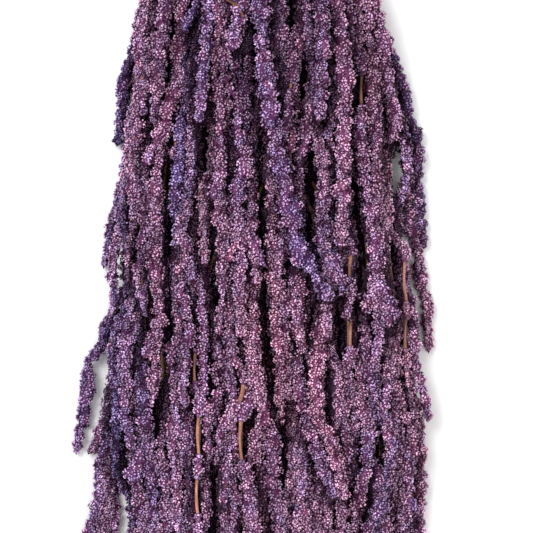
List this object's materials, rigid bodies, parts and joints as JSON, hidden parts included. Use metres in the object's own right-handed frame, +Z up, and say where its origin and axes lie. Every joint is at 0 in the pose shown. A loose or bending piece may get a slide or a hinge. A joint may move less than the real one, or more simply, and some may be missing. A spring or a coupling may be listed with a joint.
{
  "type": "preserved amaranth bunch",
  "caption": "Tied bunch of preserved hanging amaranth lying down: cut stems gathered in a band, fanning into long purple tassels of tiny papery flowers.",
  "frame": {"origin": "middle of the rectangle that the lying bunch covers, on the surface it lies on", "axes": "+X across the bunch, +Y along it towards the cut stem ends, +Z up"},
  "size_m": [0.3132, 0.753, 0.0699],
  "materials": {
    "stem": "dry tan fibrous bark, matte",
    "flowers": "tiny papery preserved flowers, dusty purple to mauve, matte",
    "twine": "twisted natural jute twine, matte"
  },
  "bodies": {
    "root": {"stem_1": "stem", "stem_2": "stem", "stem_3": "stem", "stem_4": "stem", "stem_5": "stem", "stem_6": "stem", "stem_7": "stem", "stem_8": "stem", "stem_9": "stem", "stem_10": "stem", "stem_11": "stem", "spray_1_1": "flowers", "spray_1_2": "flowers", "spray_1_3": "flowers", "spray_1_4": "flowers", "spray_2_1": "flowers", "spray_2_2": "flowers", "spray_2_3": "flowers", "spray_2_4": "flowers", "spray_3_1": "flowers", "spray_3_2": "flowers", "spray_3_3": "flowers", "spray_3_4": "flowers", "spray_4_1": "flowers", "spray_4_2": "flowers", "spray_4_3": "flowers", "spray_4_4": "flowers", "spray_5_1": "flowers", "spray_5_2": "flowers", "spray_5_3": "flowers", "spray_5_4": "flowers", "spray_6_1": "flowers", "spray_6_2": "flowers", "spray_6_3": "flowers", "spray_6_4": "flowers", "spray_7_1": "flowers", "spray_7_2": "flowers", "spray_7_3": "flowers", "spray_7_4": "flowers", "spray_8_1": "flowers", "spray_8_2": "flowers", "spray_8_3": "flowers", "spray_8_4": "flowers", "spray_9_1": "flowers", "spray_9_2": "flowers", "spray_9_3": "flowers", "spray_9_4": "flowers", "spray_10_1": "flowers", "spray_10_2": "flowers", "spray_10_3": "flowers", "spray_10_4": "flowers", "spray_11_1": "flowers", "spray_11_2": "flowers", "spray_11_3": "flowers", "spray_11_4": "flowers", "tie": "twine"}
  },
  "joints": []
}
